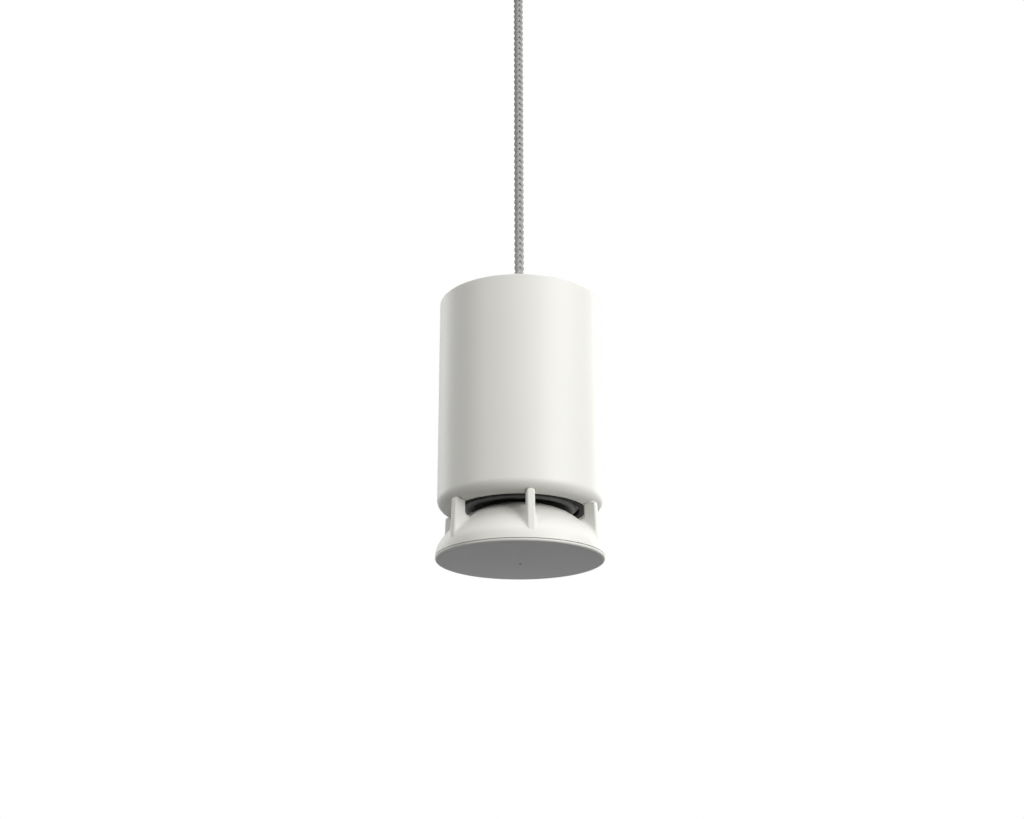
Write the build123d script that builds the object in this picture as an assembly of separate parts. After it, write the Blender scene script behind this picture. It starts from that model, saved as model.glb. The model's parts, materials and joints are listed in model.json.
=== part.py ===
from build123d import *
import math
import os

# Pendant loudspeaker that radiates all round: a round housing hangs on a braided cord, its driver
# faces down, and a domed reflector on six fins turns the sound outwards through the windows
# between them. Millimetres, +Z up. The origin is the centre of the ceiling bracket's upper face.

# Ceiling canopy and its bracket
canopy_radius = 50.0
canopy_height = 32.0
canopy_wall = 1.6
canopy_edge_radius = 6.0
bracket_width = 16.0
bracket_sheet = 2.0
bracket_clearance = 0.3
bracket_bend_radius = 1.0
ear_length = 14.0
ceiling_screw_spacing = 60.0
ceiling_slot_length = 10.0
ceiling_slot_width = 4.6
ear_screw_drop = 9.0

# Cord and the fittings at its two ends
cord_drop = 290.0
cord_diameter = 6.4
cord_clearance = 0.15
grip_radius = 7.0
grip_height = 16.0
gland_height = 10.0
gland_radius = 6.6
bush_radius = 4.9
bush_clearance = 0.1
bush_tail = 3.0
nut_across_flats = 14.0
nut_height = 4.0
dome_round = 2.5
ferrule_radius = 5.2
ferrule_height = 7.0
cord_stub = 1.0
conductor_radius = 0.8
conductor_offset = 1.5

# Terminal blocks
block_length = 24.0
block_depth = 12.0
block_height = 11.0
block_pole_spacing = 12.0
block_well_radius = 2.3
block_well_depth = 4.0
block_screw_length = 8.8
pole_screw_radius = 2.1
pole_screw_height = 2.2
pole_slot_width = 0.6
pole_slot_depth = 0.8

# Housing
housing_radius = 55.0
housing_height = 148.0
housing_wall = 3.2
lip_radius = 7.5
lip_width = 11.0
lip_inner_round = 0.8
top_edge_radius = 0.8
baffle_thickness = 5.2
pillar_radius = 4.0
pillar_height = 10.0

# Top cap
cap_thickness = 3.0
cap_clearance = 0.2
cap_rim = 1.8
cap_seal_depth = 1.0
cap_screw_count = 3
cap_screw_inset = 3.3
cap_pillar_height = 15.0
cap_boss_radius = 3.6
cap_boss_height = 5.0

# Screws
screw_clearance = 0.15
m3_radius = 1.5
m3_pilot_radius = 1.55
m3_head_radius = 2.8
m3_head_height = 2.0
m25_radius = 1.25
m25_pilot_radius = 1.3
m25_head_radius = 2.05
driver_screw_length = 9.0
cap_screw_length = 12.0
fin_screw_length = 40.0
cover_screw_length = 12.0
foot_screw_length = 6.0
ear_screw_length = 8.0
drive_recess_radius = 1.1
drive_recess_depth = 1.0

# Driver, heights counted up from the front face of its flange
flange_setback = 2.8
flange_clearance = 0.4
flange_width = 6.8
flange_sheet = 1.2
gasket_thickness = 0.8
gasket_width = 5.0
basket_clearance = 0.6
basket_side_height = 7.2
ledge_height = 16.6
ledge_share = 4 / 5
neck_share = 9 / 10
neck_height = 26.0
basket_window_count = 4
basket_window_width = 32.0
driver_screw_count = 4
driver_screw_inset = 2.4
trim_ring_depth = 2.7
trim_ring_width = 4.65
trim_ring_round = 0.9
top_plate_inset = 1.4
top_plate_thickness = 5.0
magnet_overhang = 2.6
magnet_bore_clearance = 3.45
magnet_seat_clearance = 0.35
magnet_thickness = 12.0
back_plate_inset = 2.0
back_plate_thickness = 5.0
pole_clearance = 0.5
pole_vent_radius = 3.0
coil_share = 5 / 11
former_wall = 0.3
coil_wall = 0.8
coil_length = 9.0
coil_gap = 0.7
cone_wall = 0.6
cone_rim_width = 1.2
cone_depth = 14.0
cone_bow = 1.6
cap_dome_overlap = 1.8
cap_dome_rise = 4.6
cap_dome_wall = 0.5
roll_radius = 2.75
roll_wall = 0.5
surround_land = 1.25
surround_seat = 0.5
spider_wall = 0.6
spider_wave = 0.9
spider_rolls = 3
spider_inset = 1.2
spider_land = 2.2
glue_gap = 0.05

# Reflector with its fins, and the cover under it
reflector_overhang = 0.7
reflector_height = 34.8
reflector_wall = 2.4
crown_rise = 3.6
fin_count = 6
fin_thickness = 5.2
fin_inset = 0.1
fin_depth = 9.2
fin_lean = 1.2
fin_edge_radius = 1.2
fin_root_radius = 3.0
fin_entry = 0.9
fin_seat_radius = 2.3
notch_clearance = 0.75
fin_screw_seat = 29.0
fin_post_radius = 4.2
centre_post_radius = 4.5
reflector_rib_width = 1.6
reflector_rib_depth = 10.0
cover_land_width = 1.5
shadow_gap = 0.5
cover_thickness = 2.3
cover_edge_radius = 1.3
cover_plate = 1.8
spigot_height = 2.2
spigot_wall = 1.6
spigot_clearance = 1.0
face_thickness = 1.0
face_clearance = 0.1
face_inset = 1.6
face_crown = 1.8
face_pinhole_radius = 1.2

# The reflector's outline as shares of its own radius and height, from crown to rim
dome_stations = [(0.0, 0.0), (0.427, 0.095), (0.610, 0.220), (0.772, 0.420), (0.894, 0.617),
                 (0.963, 0.772), (1.0, 1.0)]
crown_direction = (1.0, 0.0, 0.0)
rim_direction = (0.09, 0.0, -1.0)

# Line transformer and its strap
core_width = 38.0
core_height = 32.0
core_stack = 14.0
core_leg = 12.8
core_window_width = 6.3
core_window_height = 19.4
core_clearance = 0.2
winding_overhang = 6.5
winding_round = 2.0
strap_sheet = 1.2
strap_width = 12.0
strap_foot = 11.0
transformer_drop = 34.0
block_offset = 24.0

# Damping wad and wiring
wad_bore_radius = 14.0
wad_round = 4.0
wad_clearance = 0.3
wad_top_gap = 3.5
lead_offset = 3.0
lead_clearance = 10.5
lead_channel_radius = 7.0
lead_channel_shift = 2.5
tag_strip_width = 14.0
tag_strip_height = 5.0
tag_strip_sheet = 3.8
tag_strip_reach = 4.0
tag_width = 3.0
tag_foot = 1.0
tag_length = 6.0
tag_sheet = 0.6
tinsel_radius = 0.4
tinsel_clearance = 0.3
tinsel_bow = 1.64
tinsel_bend = 1.5
tinsel_tag_height = 2.0

# Levels worked out from the sizes above
cord_radius = cord_diameter / 2
canopy_floor = -canopy_height
housing_top = canopy_floor - cord_drop
lip_level = housing_top - housing_height
flange_front = lip_level + flange_setback
flange_back = flange_front + flange_sheet
recess_roof = flange_back + gasket_thickness
baffle_top = recess_roof + baffle_thickness
housing_bore = housing_radius - housing_wall
lip_inner_radius = housing_radius - lip_width
cap_screw_circle = housing_bore - cap_screw_inset
flange_radius = lip_inner_radius - flange_clearance
driver_mouth_radius = flange_radius - flange_width
baffle_mouth_radius = flange_radius - gasket_width
basket_side_radius = baffle_mouth_radius - basket_clearance
ledge_radius = basket_side_radius * ledge_share
neck_radius = ledge_radius * neck_share
driver_screw_circle = flange_radius - driver_screw_inset
trim_ring_inner_radius = flange_radius - trim_ring_width
basket_land_inner = driver_mouth_radius + surround_seat
cone_radius = basket_land_inner - 2 * roll_radius
spider_radius = ledge_radius - spider_inset
top_plate_radius = neck_radius - top_plate_inset
magnet_radius = neck_radius + magnet_overhang
back_plate_radius = magnet_radius - back_plate_inset
lead_radius = magnet_radius + lead_clearance
reflector_radius = housing_radius + reflector_overhang
fin_outer_radius = housing_radius - fin_inset
fin_inner_radius = fin_outer_radius - fin_depth
rebate_radius = housing_radius - cap_rim
cap_seat = housing_top - cap_thickness
fin_top = lip_level + fin_entry
fin_middle_radius = (fin_inner_radius + fin_outer_radius - fin_lean) / 2
crown_level = lip_level + crown_rise
reflector_foot = crown_level - reflector_height
face_level = reflector_foot - cover_thickness
face_radius = reflector_radius - face_inset
plate_top = face_level + face_thickness + cover_plate
post_foot = plate_top + face_clearance
spigot_radius = reflector_radius - reflector_wall - spigot_clearance
fin_angles = [360.0 * i / fin_count - 90.0 for i in range(fin_count)]
cap_angles = [360.0 * i / cap_screw_count + 90.0 for i in range(cap_screw_count)]
driver_angles = [360.0 * i / driver_screw_count + 45.0 for i in range(driver_screw_count)]
window_angles = [360.0 * i / basket_window_count for i in range(basket_window_count)]
coil_inner_radius = neck_radius * coil_share
former_radius = coil_inner_radius + former_wall
coil_outer_radius = former_radius + glue_gap + coil_wall
gap_radius = coil_outer_radius + coil_gap
magnet_seat_radius = gap_radius + magnet_seat_clearance
magnet_bore_radius = coil_outer_radius + magnet_bore_clearance
pole_radius = coil_inner_radius - pole_clearance
cap_dome_radius = coil_inner_radius + cap_dome_overlap
plate_level = flange_front + neck_height
magnet_level = plate_level + top_plate_thickness
back_level = magnet_level + magnet_thickness
driver_back = back_level + back_plate_thickness
coil_middle = plate_level + top_plate_thickness / 2
cone_neck_level = flange_front + cone_depth
cone_neck_radius = former_radius + glue_gap
cone_middle_radius = (cone_radius - cone_rim_width + cone_neck_radius) / 2
cone_middle_level = flange_front + cone_depth / 2 - cone_bow
cord_foot = housing_top - cap_thickness - nut_height - bush_tail - ferrule_height - cord_stub
cord_head = canopy_floor + canopy_wall + nut_height + bush_tail + cord_stub


def cylinder(radius, low, high, x=0.0, y=0.0):
    """Upright round bar between two heights."""
    return Pos(x, y, low) * Cylinder(radius, high - low, align=(Align.CENTER, Align.CENTER, Align.MIN))


def ring(outer, inner, low, high):
    """Flat ring or tube between two heights."""
    return cylinder(outer, low, high) - cylinder(inner, low, high)


def slab(width, depth, low, high, x=0.0, y=0.0):
    """Upright block between two heights."""
    centred = (Align.CENTER, Align.CENTER, Align.MIN)
    return Pos(x, y, low) * Box(width, depth, high - low, align=centred)


def turned(*points):
    """Solid turned about the axis from an outline of (radius, height) points."""
    outline = Polyline(*[(r, 0, z) for r, z in points], close=True)
    return revolve(Face(Wire(outline.edges())), Axis.Z)


def round_about(shape, angles):
    """Copies of one shape turned about the axis."""
    return [Rot(0, 0, angle) * shape for angle in angles]


def vertical_edges(shape):
    return shape.edges().filter_by(lambda edge: abs((edge % 0.5).Z) > 0.95)


def pan_screw(length, radius=m3_radius):
    """Pan-head screw, its head's seat at the origin and its shank along +Z."""
    head = Pos(0, 0, -m3_head_height) * Cylinder(
        m3_head_radius, m3_head_height, align=(Align.CENTER, Align.CENTER, Align.MIN))
    head = fillet(head.edges().sort_by(Axis.Z)[0], m3_head_height * 0.4)
    recess = Pos(0, 0, -m3_head_height) * Cylinder(
        drive_recess_radius, drive_recess_depth, align=(Align.CENTER, Align.CENTER, Align.MIN))
    return head + cylinder(radius, 0, length) - recess


def sunk_screw(length, radius, head_radius):
    """Countersunk screw, its flat head's face at the origin and its shank along +Z."""
    cone_height = head_radius - radius
    body = turned((0, 0), (head_radius, 0), (radius, cone_height), (radius, length), (0, length))
    recess = RegularPolygon(drive_recess_radius, 6)
    return body - extrude(recess, drive_recess_depth)


def sunk_hole(radius, head_radius, depth):
    """Tool for a countersunk clearance hole, its mouth at the origin."""
    reach = head_radius + screw_clearance
    bore = radius + screw_clearance
    return turned((0, -0.01), (reach, -0.01), (reach, 0), (bore, reach - bore), (bore, depth), (0, depth))


def hex_nut(low):
    """Thin lock nut on a cord bush."""
    nut = extrude(RegularPolygon(nut_across_flats / 2, 6, major_radius=False), nut_height)
    nut = Pos(0, 0, low) * nut
    return nut - cylinder(bush_radius + bush_clearance / 2, low, low + nut_height)


def cord_bush(outside, face, reach):
    """Cord bush: a rounded head from face to outside and a threaded bush on the other side."""
    low, high = min(face, outside), max(face, outside)
    head = cylinder(grip_radius if outside < face else gland_radius, low, high)
    rim = head.edges().sort_by(Axis.Z)[0 if outside < face else -1]
    head = fillet(rim, dome_round)
    shank_low, shank_high = min(face, reach), max(face, reach)
    body = head + cylinder(bush_radius, shank_low, shank_high)
    ends = (min(outside, reach), max(outside, reach))
    return body - cylinder(cord_radius + cord_clearance, ends[0], ends[1])


def tube_along(points, radius, bend):
    """Wire along straight runs joined by tangent arcs."""
    path = FilletPolyline(*points, radius=bend)
    start = Plane(origin=path @ 0, z_dir=path % 0)
    return sweep(start * Circle(radius), path=path)


# Ceiling set


def ear_face():
    """Outer face of the bracket's ears, whose corners just clear the canopy's wall."""
    inside = canopy_radius - canopy_wall - bracket_clearance
    return math.sqrt(inside ** 2 - (bracket_width / 2) ** 2)


def ceiling_bracket():
    reach = ear_face()
    bar = slab(2 * reach, bracket_width, -bracket_sheet, 0)
    place = reach - bracket_sheet / 2
    for side in (-1, 1):
        bar += slab(bracket_sheet, bracket_width, -ear_length, 0, x=side * place)
    outer_bends = bar.edges().filter_by(Axis.Y).group_by(Axis.Z)[-1]
    bar = fillet(outer_bends, bracket_bend_radius)
    slot = extrude(SlotOverall(ceiling_slot_length, ceiling_slot_width), bracket_sheet)
    for side in (-1, 1):
        bar -= Pos(side * ceiling_screw_spacing / 2, 0, -bracket_sheet) * slot
    tapped = Pos(0, 0, -ear_screw_drop) * Rot(0, 90, 0) * Cylinder(m3_pilot_radius, 4 * reach)
    return bar - tapped - cylinder(m3_pilot_radius, -bracket_sheet, 0)


def ceiling_canopy():
    cup = cylinder(canopy_radius, canopy_floor, 0)
    cup = fillet(cup.edges().sort_by(Axis.Z)[0], canopy_edge_radius)
    hollow = cylinder(canopy_radius - canopy_wall, canopy_floor + canopy_wall, 0)
    hollow = fillet(hollow.edges().sort_by(Axis.Z)[0], canopy_edge_radius - canopy_wall)
    side_hole = Rot(0, 90, 0) * Cylinder(m3_radius + screw_clearance, 4 * canopy_radius)
    bush_hole = cylinder(bush_radius + bush_clearance, canopy_floor, canopy_floor + canopy_wall)
    return cup - hollow - Pos(0, 0, -ear_screw_drop) * side_hole - bush_hole


def canopy_screws():
    seat = math.sqrt(canopy_radius ** 2 - m3_head_radius ** 2) + m3_head_radius ** 2 / canopy_radius
    screw = pan_screw(ear_screw_length)
    right = Pos(seat, 0, -ear_screw_drop) * Rot(0, -90, 0) * screw
    return [right, Rot(0, 0, 180) * right]


def canopy_cord_grip():
    return cord_bush(canopy_floor - grip_height, canopy_floor,
                     canopy_floor + canopy_wall + nut_height + bush_tail)


def terminal_block(face):
    """Two-pole terminal block that hangs under a plate."""
    low, high = face - block_height, face
    body = slab(block_length, block_depth, low, high)
    body = fillet(vertical_edges(body), 1.0)
    for side in (-1, 1):
        place = side * block_pole_spacing / 2
        body -= cylinder(block_well_radius, low, low + block_well_depth, x=place)
        body -= Pos(place, 0, (low + high) / 2) * Rot(90, 0, 0) * Cylinder(
            conductor_radius + screw_clearance, 2 * block_depth)
    body -= cylinder(m3_head_radius + screw_clearance, low, low + block_well_depth)
    return body - cylinder(m3_radius + screw_clearance, low, high)


def block_screws(face, y=0.0):
    """A terminal block's two clamp screws in their wells, and the screw that fixes the block."""
    floor = face - block_height + block_well_depth
    screws = [Pos(0, y, floor) * pan_screw(block_screw_length)]
    for side in (-1, 1):
        place = side * block_pole_spacing / 2
        low = floor - pole_screw_height
        screw = cylinder(pole_screw_radius, low, floor, x=place, y=y)
        screw -= slab(2 * pole_screw_radius, pole_slot_width, low, low + pole_slot_depth, x=place, y=y)
        screws.append(screw)
    return screws


def ceiling_conductors():
    """The cord's two cores, from its upper end into the ceiling terminal block."""
    entry = -bracket_sheet - block_height / 2
    side = block_depth / 2
    wires = []
    for way in (-1, 1):
        points = [(way * conductor_offset, 0, cord_head), (way * conductor_offset, 0, cord_head + 3.5),
                  (way * block_pole_spacing / 2, -side - 5.0, cord_head + 4.5),
                  (way * block_pole_spacing / 2, -side - 5.0, entry),
                  (way * block_pole_spacing / 2, -side + 2.0, entry)]
        wires.append(tube_along(points, conductor_radius, 1.6))
    return wires


# Cord and its fittings on the housing


def braided_cord():
    return cylinder(cord_radius, cord_foot, cord_head)


def housing_gland():
    return cord_bush(housing_top + gland_height, housing_top,
                     housing_top - cap_thickness - nut_height - bush_tail)


def cord_ferrule():
    high = housing_top - cap_thickness - nut_height - bush_tail
    body = ring(ferrule_radius, cord_radius + glue_gap, high - ferrule_height, high)
    grooves = ring(ferrule_radius + 1, ferrule_radius - 0.5, high - ferrule_height * 0.6,
                   high - ferrule_height * 0.4)
    return body - grooves


# Top cap, transformer and terminal block under it


def cap_bosses():
    return [(side * (core_width / 2 + strap_sheet + strap_foot / 2), 0) for side in (-1, 1)]


def top_cap():
    body = cylinder(rebate_radius - cap_clearance, cap_seat, housing_top)
    body = fillet(body.edges().sort_by(Axis.Z)[-1], top_edge_radius / 2)
    for x, y in cap_bosses():
        body += cylinder(cap_boss_radius, cap_seat - cap_boss_height, cap_seat, x=x, y=y)
    for x, y in cap_bosses():
        body -= cylinder(m3_pilot_radius, cap_seat - cap_boss_height, cap_seat + 0.8, x=x, y=y)
    body -= cylinder(bush_radius + bush_clearance, cap_seat, housing_top)
    body -= cylinder(m3_pilot_radius, cap_seat, cap_seat + 2.2, y=block_offset)
    hole = Pos(cap_screw_circle, 0, housing_top) * Rot(180, 0, 0) * sunk_hole(
        m3_radius, m3_head_radius, cap_thickness)
    for cutter in round_about(hole, cap_angles):
        body -= cutter
    return body


def cap_seal():
    return ring(housing_bore + cap_seal_depth, housing_bore - 0.8, cap_seat - cap_seal_depth, cap_seat)


def cap_screws():
    screw = Rot(180, 0, 0) * sunk_screw(cap_screw_length, m3_radius, m3_head_radius)
    return round_about(Pos(cap_screw_circle, 0, housing_top) * screw, cap_angles)


core_top = housing_top - transformer_drop
core_foot = core_top - core_height
core_level = (core_top + core_foot) / 2


def transformer_core():
    body = slab(core_width, core_stack, core_foot, core_top)
    shift = core_leg / 2 + core_window_width / 2
    for side in (-1, 1):
        body -= Pos(side * shift, 0, core_level) * Box(core_window_width, 2 * core_stack,
                                                      core_window_height)
    return body


def transformer_winding():
    outer_width = core_leg + 2 * core_window_width - 2 * core_clearance
    body = Pos(0, 0, core_level) * Box(outer_width, core_stack + 2 * winding_overhang,
                                       core_window_height - 2 * core_clearance)
    body = fillet(vertical_edges(body), winding_round)
    return body - Pos(0, 0, core_level) * Box(core_leg + 2 * core_clearance,
                                              core_stack + 2 * core_clearance, 2 * core_height)


def transformer_strap():
    """U-shaped strap: two feet on the cap's bosses, two legs and a base under the core."""
    foot_face = cap_seat - cap_boss_height
    side = core_width / 2 + core_clearance
    outline = [(-side - strap_foot, foot_face), (-side, foot_face), (-side, core_foot - core_clearance),
               (side, core_foot - core_clearance), (side, foot_face), (side + strap_foot, foot_face),
               (side + strap_foot, foot_face - strap_sheet), (side + strap_sheet, foot_face - strap_sheet),
               (side + strap_sheet, core_foot - core_clearance - strap_sheet),
               (-side - strap_sheet, core_foot - core_clearance - strap_sheet),
               (-side - strap_sheet, foot_face - strap_sheet), (-side - strap_foot, foot_face - strap_sheet)]
    face = Face(Wire(Polyline(*[(x, 0, z) for x, z in outline], close=True).edges()))
    body = extrude(face, strap_width / 2, dir=(0, 1, 0), both=True)
    for x, y in cap_bosses():
        body -= cylinder(m3_radius + screw_clearance, foot_face - strap_sheet, foot_face, x=x, y=y)
    return body


def transformer_screws():
    seat = cap_seat - cap_boss_height - strap_sheet
    return [Pos(x, y, seat) * pan_screw(foot_screw_length) for x, y in cap_bosses()]


def inner_conductors():
    """The cord's two cores, from its lower end up into the terminal block on the cap."""
    entry = cap_seat - block_height / 2
    side = block_offset - block_depth / 2
    wires = []
    for way in (-1, 1):
        points = [(way * conductor_offset, 0, cord_foot), (way * conductor_offset, 0, cord_foot - 5.0),
                  (way * block_pole_spacing / 2, side - 6.0, cord_foot - 5.0),
                  (way * block_pole_spacing / 2, side - 6.0, entry),
                  (way * block_pole_spacing / 2, side + 2.0, entry)]
        wires.append(tube_along(points, conductor_radius, 2.2))
    return wires


def driver_leads():
    """Two leads from the winding down past the magnet to the driver's tags."""
    start = core_stack / 2 + winding_overhang
    tag_top = tag_level + tag_foot + tag_length
    wires = []
    for way in (-1, 1):
        x = way * lead_offset
        points = [(x, -start, core_level), (x, -start - 9.0, core_level),
                  (x, -lead_radius, core_level - 20.0), (x, -lead_radius, tag_top + 12.0),
                  (x, -tag_face - tag_sheet / 2, tag_top + 3.0), (x, -tag_face - tag_sheet / 2, tag_top)]
        wires.append(tube_along(points, conductor_radius, 3.0))
    return wires


def damping_wad():
    low = driver_back + wad_clearance
    high = core_foot - core_clearance - strap_sheet - wad_top_gap
    body = cylinder(housing_bore - wad_clearance, low, high)
    body = fillet(body.edges(), min(wad_round, (high - low) / 3))
    body -= cylinder(wad_bore_radius, low, high)
    return body - cylinder(lead_channel_radius, low, high, y=-lead_radius - lead_channel_shift)


# Housing with its baffle, lip and notches


def fin_block(grow):
    """One fin on the +X side, from inside the dome up into its notch, grown by a clearance."""
    foot = reflector_foot + cover_thickness
    head = fin_top + grow
    outline = [(fin_inner_radius - grow, foot), (fin_outer_radius + grow, foot),
               (fin_outer_radius - fin_lean + grow, head), (fin_inner_radius - grow, head)]
    face = Face(Wire(Polyline(*[(r, 0, z) for r, z in outline], close=True).edges()))
    block = extrude(face, fin_thickness / 2 + grow, dir=(0, 1, 0), both=True)
    block = fillet(vertical_edges(block), fin_edge_radius + grow)
    return fillet(block.faces().sort_by(Axis.Z)[-1].edges(), fin_edge_radius * 0.8)


def housing():
    body = cylinder(housing_radius, lip_level, housing_top)
    body = fillet(body.edges().sort_by(Axis.Z)[0], lip_radius)
    body = fillet(body.edges().sort_by(Axis.Z)[-1], top_edge_radius)
    hollow = cylinder(housing_bore, baffle_top, cap_seat)
    fin_pillar = cylinder(pillar_radius, baffle_top, baffle_top + pillar_height, x=fin_middle_radius)
    for pillar in round_about(fin_pillar, fin_angles):
        hollow -= pillar
    cap_pillar = cylinder(pillar_radius, cap_seat - cap_pillar_height, cap_seat, x=cap_screw_circle)
    for pillar in round_about(cap_pillar, cap_angles):
        hollow -= pillar
    body -= hollow
    body -= cylinder(rebate_radius, cap_seat, housing_top)
    body -= cylinder(housing_bore + cap_seal_depth + cap_clearance, cap_seat - cap_seal_depth, cap_seat)
    body -= cylinder(baffle_mouth_radius, recess_roof, baffle_top)
    recess = cylinder(lip_inner_radius, lip_level, recess_roof)
    body -= recess
    inner_edge = body.edges().filter_by(GeomType.CIRCLE).filter_by(
        lambda edge: abs(edge.center().Z - lip_level) < 0.01 and edge.radius < lip_inner_radius + 0.01)
    body = fillet(inner_edge, lip_inner_round)
    for notch in round_about(fin_block(notch_clearance), fin_angles):
        body -= notch
    fin_pilot = cylinder(m3_pilot_radius, fin_top, baffle_top + pillar_height - 1.0, x=fin_middle_radius)
    for pilot in round_about(fin_pilot, fin_angles):
        body -= pilot
    cap_pilot = cylinder(m3_pilot_radius, cap_seat - cap_pillar_height + 2.0, cap_seat,
                         x=cap_screw_circle)
    for pilot in round_about(cap_pilot, cap_angles):
        body -= pilot
    driver_pilot = cylinder(m25_pilot_radius, recess_roof, baffle_top, x=driver_screw_circle)
    for pilot in round_about(driver_pilot, driver_angles):
        body -= pilot
    return body


# Driver


def driver_holes(low, high, radius):
    return round_about(cylinder(radius, low, high, x=driver_screw_circle), driver_angles)


def at_front(*points):
    """Outline points given as (radius, height above the flange's front face)."""
    return [(r, flange_front + h) for r, h in points]


def driver_basket():
    sheet = flange_sheet
    neck_inside = neck_radius - sheet
    slope = sheet * 0.6
    body = turned(*at_front(
        (driver_mouth_radius, 0), (driver_mouth_radius, basket_side_height - slope),
        (ledge_radius - slope, ledge_height), (neck_inside, ledge_height),
        (neck_inside, neck_height - sheet), (magnet_seat_radius, neck_height - sheet),
        (magnet_seat_radius, neck_height), (neck_radius, neck_height),
        (neck_radius, ledge_height + sheet), (ledge_radius, ledge_height + sheet),
        (basket_side_radius, basket_side_height), (basket_side_radius, sheet),
        (flange_radius, sheet), (flange_radius, 0)))
    window_low = flange_front + basket_side_height + 0.6
    window_high = flange_front + ledge_height - 1.2
    window = slab(basket_side_radius, basket_window_width, window_low, window_high,
                  x=ledge_radius + basket_side_radius / 2 - 4.0)
    for angle in window_angles:
        body -= Rot(0, 0, angle) * window
    for hole in driver_holes(flange_front, flange_back, m25_radius + screw_clearance):
        body -= hole
    return body


def driver_gasket():
    body = ring(flange_radius, baffle_mouth_radius, flange_back, recess_roof)
    for hole in driver_holes(flange_back, recess_roof, m25_radius + screw_clearance):
        body -= hole
    return body


def front_trim_ring():
    body = ring(flange_radius, trim_ring_inner_radius, flange_front - trim_ring_depth, flange_front)
    body = fillet(body.edges().group_by(Axis.Z)[0], trim_ring_round)
    hole = Pos(driver_screw_circle, 0, flange_front - trim_ring_depth) * sunk_hole(
        m25_radius, m25_head_radius, trim_ring_depth + 0.01)
    for cutter in round_about(hole, driver_angles):
        body -= cutter
    return body


def driver_screws():
    screw = sunk_screw(driver_screw_length, m25_radius, m25_head_radius)
    place = Pos(driver_screw_circle, 0, flange_front - trim_ring_depth)
    return round_about(place * screw, driver_angles)


def top_plate():
    return ring(top_plate_radius, gap_radius, plate_level, magnet_level)


def magnet_ring():
    body = ring(magnet_radius, magnet_bore_radius, magnet_level, back_level)
    return chamfer(body.edges(), 0.6)


def pole_plate():
    body = cylinder(back_plate_radius, back_level, driver_back)
    body = chamfer(body.edges().sort_by(Axis.Z)[-1], 1.0)
    body += cylinder(pole_radius, plate_level, back_level)
    return body - cylinder(pole_vent_radius, plate_level, driver_back)


def spider():
    """Corrugated suspension disc between the voice-coil former and the basket's ledge."""
    inner = former_radius + glue_gap
    level = flange_front + ledge_height - spider_wall
    start = inner + spider_land
    step = (spider_radius - spider_land - start) / (2 * spider_rolls)
    lower = []
    for i in range(2 * spider_rolls):
        crest = level + spider_wave * (-1 if i % 2 else 1)
        left = start + i * step
        lower.append(ThreePointArc((left, 0, level), (left + step / 2, 0, crest), (left + step, 0, level)))
    upper = [Pos(0, 0, spider_wall) * arc for arc in lower]
    inside = Polyline(lower[0] @ 0, (inner, 0, level), (inner, 0, level + spider_wall), upper[0] @ 0)
    outside = Polyline(lower[-1] @ 1, (spider_radius, 0, level),
                       (spider_radius, 0, level + spider_wall), upper[-1] @ 1)
    edges = lower + upper + list(inside.edges()) + list(outside.edges())
    return revolve(Face(Wire(edges)), Axis.Z)


def voice_coil_former():
    low = cone_neck_level - cone_wall
    high = coil_middle + coil_length / 2 + 0.5
    return ring(former_radius, coil_inner_radius, low, high)


def voice_coil():
    half = coil_length / 2
    return ring(coil_outer_radius, former_radius + glue_gap, coil_middle - half, coil_middle + half)


def cone_front():
    """Outline of the cone's front face, from the rim through the middle to the neck."""
    return Spline((cone_radius - cone_rim_width, 0, flange_front),
                  (cone_middle_radius, 0, cone_middle_level), (cone_neck_radius, 0, cone_neck_level))


def cone():
    """Bowed paper cone with a flat rim for the surround."""
    front = cone_front()
    back = Pos(0, 0, cone_wall) * front
    outer = Polyline(front @ 0, (cone_radius, 0, flange_front), (cone_radius, 0, flange_front + cone_wall),
                     back @ 0)
    inner = Line(front @ 1, back @ 1)
    outline = Wire(front.edges() + back.edges() + outer.edges() + inner.edges())
    return revolve(Face(outline), Axis.Z)


def dust_cap():
    """Domed cap glued to the cone round its neck."""
    glue_line = cone_front().find_intersection_points(Axis((cap_dome_radius, 0, 0), (0, 0, 1)))[0]
    seat = glue_line.Z - cap_dome_wall - glue_gap
    sphere_radius = (cap_dome_radius ** 2 + cap_dome_rise ** 2) / (2 * cap_dome_rise)
    halfway = cap_dome_radius / 2
    sag = sphere_radius - math.sqrt(sphere_radius ** 2 - halfway ** 2)
    top = (0, 0, seat - cap_dome_rise)
    middle = (halfway, 0, seat - cap_dome_rise + sag)
    edge = (cap_dome_radius, 0, seat)
    front = ThreePointArc(top, middle, edge)
    back = Pos(0, 0, cap_dome_wall) * front
    outline = Wire(front.edges() + back.edges() + Line(front @ 0, back @ 0).edges()
                   + Line(front @ 1, back @ 1).edges())
    return revolve(Face(outline), Axis.Z)


def surround():
    """Half-roll surround: inner land on the cone's rim, outer land on the flange."""
    middle = (cone_radius + basket_land_inner) / 2
    outer = roll_radius + roll_wall / 2
    inner = roll_radius - roll_wall / 2
    low = flange_front - roll_wall
    roll = Face(Wire([
        ThreePointArc((middle - outer, 0, flange_front), (middle, 0, flange_front - outer),
                      (middle + outer, 0, flange_front)),
        Line((middle + outer, 0, flange_front), (middle + inner, 0, flange_front)),
        ThreePointArc((middle + inner, 0, flange_front), (middle, 0, flange_front - inner),
                      (middle - inner, 0, flange_front)),
        Line((middle - inner, 0, flange_front), (middle - outer, 0, flange_front))]))
    body = revolve(roll, Axis.Z)
    body += ring(middle - inner - 0.1, cone_radius - cone_rim_width, low, flange_front)
    return body + ring(basket_land_inner + surround_land + roll_wall / 2, middle + inner + 0.1,
                       low, flange_front)


tag_level = flange_front + ledge_height + flange_sheet
tag_face = neck_radius + tag_strip_sheet


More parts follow.
